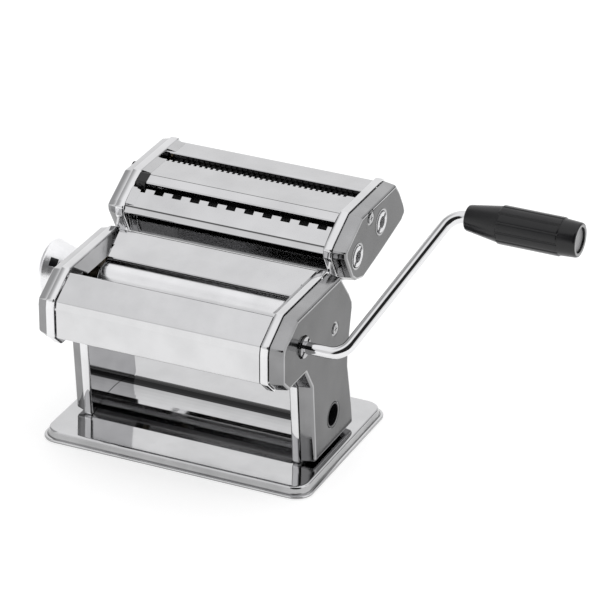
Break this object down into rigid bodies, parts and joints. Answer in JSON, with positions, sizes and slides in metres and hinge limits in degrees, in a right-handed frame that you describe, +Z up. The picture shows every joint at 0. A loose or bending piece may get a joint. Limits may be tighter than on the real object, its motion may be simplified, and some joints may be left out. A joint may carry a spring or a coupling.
{
  "type": "hand-cranked pasta sheet roller with double cutter",
  "caption": "Table-top dough sheeter turned by hand: two steel rollers with a thickness knob, a lift-off double strip cutter at the rear and a crank.",
  "frame": {"origin": "on the surface the feet stand on, under the centre of the base plate", "axes": "+X along the rollers towards the crank, +Y from the roller side to the cutter side, +Z up"},
  "size_m": [0.3482, 0.194, 0.1832],
  "materials": {
    "polished_steel": "mirror polished",
    "satin_steel": "satin, turned",
    "bearing_bronze": "machined",
    "knob_plastic": "gloss",
    "black_plastic": "gloss",
    "grey_plastic": "satin",
    "black_rubber": "matt"
  },
  "bodies": {
    "frame": {"base_plate": "polished_steel", "base_feet": "black_rubber", "side_frame_left": "polished_steel", "side_frame_right": "polished_steel", "side_cover_left": "polished_steel", "side_cover_right": "polished_steel", "cover_screws": "polished_steel", "front_cover": "polished_steel", "hopper_plate": "polished_steel", "hopper_cheek_left": "polished_steel", "hopper_cheek_right": "polished_steel", "rear_cover": "polished_steel", "chute": "polished_steel", "tie_rods": "satin_steel", "front_bushes": "bearing_bronze", "front_scraper": "satin_steel", "rear_scraper": "satin_steel", "clamp_liner": "black_plastic", "index_plate": "satin_steel"},
    "drive": {"front_roller": "satin_steel", "front_gear": "satin_steel", "drive_hub": "polished_steel"},
    "carriage": {"bearing_slides": "bearing_bronze"},
    "rear_roller_set": {"rear_roller": "satin_steel", "rear_gear": "satin_steel"},
    "adjuster": {"adjuster_shaft": "satin_steel", "knob_screw": "polished_steel"},
    "knob": {"knob": "knob_plastic", "knob_cap": "knob_plastic", "knob_spring": "satin_steel"},
    "crank": {"crank_rod": "polished_steel", "crank_key": "satin_steel", "grip_retainer": "satin_steel"},
    "grip": {"crank_grip": "black_plastic", "grip_cap": "grey_plastic"},
    "cutter": {"cutter_frame_left": "polished_steel", "cutter_frame_right": "polished_steel", "cutter_cover_left": "polished_steel", "cutter_cover_right": "polished_steel", "cutter_front_plate": "polished_steel", "cutter_middle_plate": "polished_steel", "cutter_rear_plate": "polished_steel", "cutter_tie_rods": "satin_steel", "cutter_bushes": "bearing_bronze", "cutter_screws": "polished_steel"},
    "wide_drive": {"wide_drive_cutter": "satin_steel", "wide_drive_gear": "satin_steel"},
    "wide_idler": {"wide_idler_cutter": "satin_steel", "wide_idler_gear": "satin_steel"},
    "fine_drive": {"fine_drive_cutter": "satin_steel", "fine_drive_gear": "satin_steel"},
    "fine_idler": {"fine_idler_cutter": "satin_steel", "fine_idler_gear": "satin_steel"}
  },
  "joints": [
    {"name": "drive_spin", "type": "hinge", "parent": "frame", "child": "drive", "pos_m": [0, -0.05, 0.103], "axis": [1, 0, 0], "continuous": true},
    {"name": "gap_slide", "type": "slide", "parent": "frame", "child": "carriage", "axis": [0, 1, 0], "range_m": [0, 0.003]},
    {"name": "rear_roller_spin", "type": "hinge", "parent": "carriage", "child": "rear_roller_set", "pos_m": [0, -0.0216, 0.103], "axis": [1, 0, 0], "continuous": true},
    {"name": "thickness_turn", "type": "hinge", "parent": "frame", "child": "adjuster", "pos_m": [0, -0.0201, 0.103], "axis": [1, 0, 0], "range_deg": [0, 180]},
    {"name": "knob_pull", "type": "slide", "parent": "adjuster", "child": "knob", "axis": [-1, 0, 0], "range_m": [0, 0.003], "stiffness_N_per_m": 300, "springref_m": -0.001, "deforming": ["knob_spring"]},
    {"name": "crank_pull", "type": "slide", "parent": "drive", "child": "crank", "axis": [1, 0, 0], "range_m": [0, 0.03]},
    {"name": "grip_spin", "type": "hinge", "parent": "crank", "child": "grip", "pos_m": [0.2, 0.03542, 0.1707], "axis": [1, 0, 0], "continuous": true},
    {"name": "cutter_lift", "type": "slide", "parent": "frame", "child": "cutter", "axis": [0, 0, 1], "range_m": [0, 0.04]},
    {"name": "wide_drive_spin", "type": "hinge", "parent": "cutter", "child": "wide_drive", "pos_m": [0, 0.033, 0.1285], "axis": [1, 0, 0], "continuous": true},
    {"name": "wide_idler_spin", "type": "hinge", "parent": "cutter", "child": "wide_idler", "pos_m": [0, 0.04976, 0.13388], "axis": [1, 0, 0], "continuous": true},
    {"name": "fine_drive_spin", "type": "hinge", "parent": "cutter", "child": "fine_drive", "pos_m": [0, 0.0705, 0.1363], "axis": [1, 0, 0], "continuous": true},
    {"name": "fine_idler_spin", "type": "hinge", "parent": "cutter", "child": "fine_idler", "pos_m": [0, 0.08726, 0.14168], "axis": [1, 0, 0], "continuous": true}
  ],
  "couplings": [
    {"joint": "thickness_turn", "follows": "gap_slide", "rad_per_m": 1047.2},
    {"joint": "rear_roller_spin", "follows": "drive_spin", "ratio": -1},
    {"joint": "wide_idler_spin", "follows": "wide_drive_spin", "ratio": -1},
    {"joint": "fine_idler_spin", "follows": "fine_drive_spin", "ratio": -1}
  ]
}
